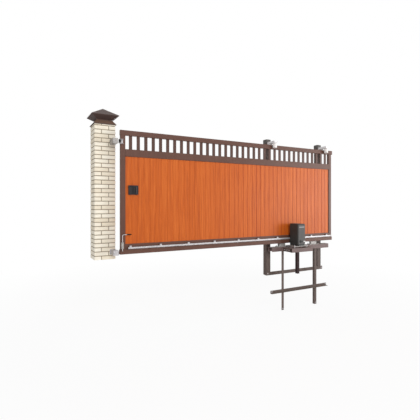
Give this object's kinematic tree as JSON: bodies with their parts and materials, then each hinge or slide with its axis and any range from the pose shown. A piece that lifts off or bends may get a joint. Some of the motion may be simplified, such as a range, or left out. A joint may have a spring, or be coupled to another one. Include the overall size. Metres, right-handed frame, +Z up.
{
  "type": "sliding driveway gate",
  "caption": "Cantilever sliding driveway gate with a brick pillar, an orange boarded leaf with a picket band, guide posts, a buried frame, and a rack and pinion drive.",
  "frame": {"origin": "middle of the brick pillar's base, at ground level", "axes": "+X along the gate to the right as seen from the yard, +Y away from the yard, +Z up"},
  "size_m": [5.914, 0.963, 4.263],
  "materials": {
    "brick": "cream facing brick with grey-brown mortar",
    "cap_sheet": "dark brown coated sheet",
    "brown_paint": "brown satin paint on steel tube",
    "board": "orange stained upright boards",
    "zinc": "galvanised steel",
    "nylon": "white nylon",
    "black_plastic": "black moulded plastic",
    "black_rubber": "black rubber",
    "dark_cap": "dark moulded cap",
    "motor_grey": "dark grey moulded cover",
    "pale_strip": "plain pale strip",
    "gear_steel": "machined steel"
  },
  "bodies": {
    "stand": {"pillar": "brick", "pillar_cap": "cap_sheet", "posts": "brown_paint", "post_caps": "dark_cap", "guide_brackets": "zinc", "carriage_channel": "brown_paint", "legs": "brown_paint", "cross_bar": "brown_paint", "post_tie": "brown_paint", "post_links": "brown_paint", "carriages": "zinc", "carriage_wheels": "gear_steel", "platform_channel": "brown_paint", "platform_bearers": "brown_paint", "platform_leg": "brown_paint", "motor_base_plate": "zinc", "motor_housing": "motor_grey", "motor_strip": "pale_strip", "release_knob": "motor_grey", "upper_catcher": "zinc", "lower_catcher": "zinc"},
    "leaf": {"top_rail": "brown_paint", "middle_rail": "brown_paint", "bottom_rail": "brown_paint", "stiles": "brown_paint", "pickets": "brown_paint", "infill_panel": "board", "end_plugs": "brown_paint", "guide_beam": "brown_paint", "gear_rack": "zinc", "rack_spacers": "zinc", "lock_plate": "black_plastic", "lock_grip": "black_plastic", "drop_bolt_sleeve": "zinc", "upper_end_bracket": "zinc", "lower_end_roller": "gear_steel", "lower_end_fork": "brown_paint"},
    "drop_bolt": {"drop_bolt": "zinc", "drop_bolt_grip": "black_plastic"},
    "end_roller": {"upper_end_roller": "black_rubber"},
    "pinion": {"pinion": "gear_steel"},
    "left_near_roller": {"left_near_guide_roller": "nylon"},
    "left_far_roller": {"left_far_guide_roller": "nylon"},
    "right_near_roller": {"right_near_guide_roller": "nylon"},
    "right_far_roller": {"right_far_guide_roller": "nylon"}
  },
  "joints": [
    {"name": "gate_slide", "type": "slide", "parent": "stand", "child": "leaf", "axis": [1, 0, 0], "range_m": [0, 3.45]},
    {"name": "drop_bolt_slide", "type": "slide", "parent": "leaf", "child": "drop_bolt", "axis": [0, 0, -1], "range_m": [0, 0.11]},
    {"name": "end_roller_spin", "type": "hinge", "parent": "leaf", "child": "end_roller", "pos_m": [0.216, -0.398, 2.156], "axis": [0, 0, 1], "continuous": true},
    {"name": "pinion_spin", "type": "hinge", "parent": "stand", "child": "pinion", "pos_m": [4.3275, -0.403, 0.159], "axis": [0, 1, 0], "continuous": true},
    {"name": "left_near_spin", "type": "hinge", "parent": "stand", "child": "left_near_roller", "pos_m": [3.76, -0.421, 2.342], "axis": [0, 0, 1], "continuous": true},
    {"name": "left_far_spin", "type": "hinge", "parent": "stand", "child": "left_far_roller", "pos_m": [3.76, -0.259, 2.342], "axis": [0, 0, 1], "continuous": true},
    {"name": "right_near_spin", "type": "hinge", "parent": "stand", "child": "right_near_roller", "pos_m": [5.396, -0.421, 2.342], "axis": [0, 0, 1], "continuous": true},
    {"name": "right_far_spin", "type": "hinge", "parent": "stand", "child": "right_far_roller", "pos_m": [5.396, -0.259, 2.342], "axis": [0, 0, 1], "continuous": true}
  ],
  "couplings": [
    {"joint": "pinion_spin", "follows": "gate_slide", "rad_per_m": 27.778},
    {"joint": "left_near_spin", "follows": "gate_slide", "rad_per_m": -20},
    {"joint": "left_far_spin", "follows": "gate_slide", "rad_per_m": 20},
    {"joint": "right_near_spin", "follows": "gate_slide", "rad_per_m": -20},
    {"joint": "right_far_spin", "follows": "gate_slide", "rad_per_m": 20}
  ]
}
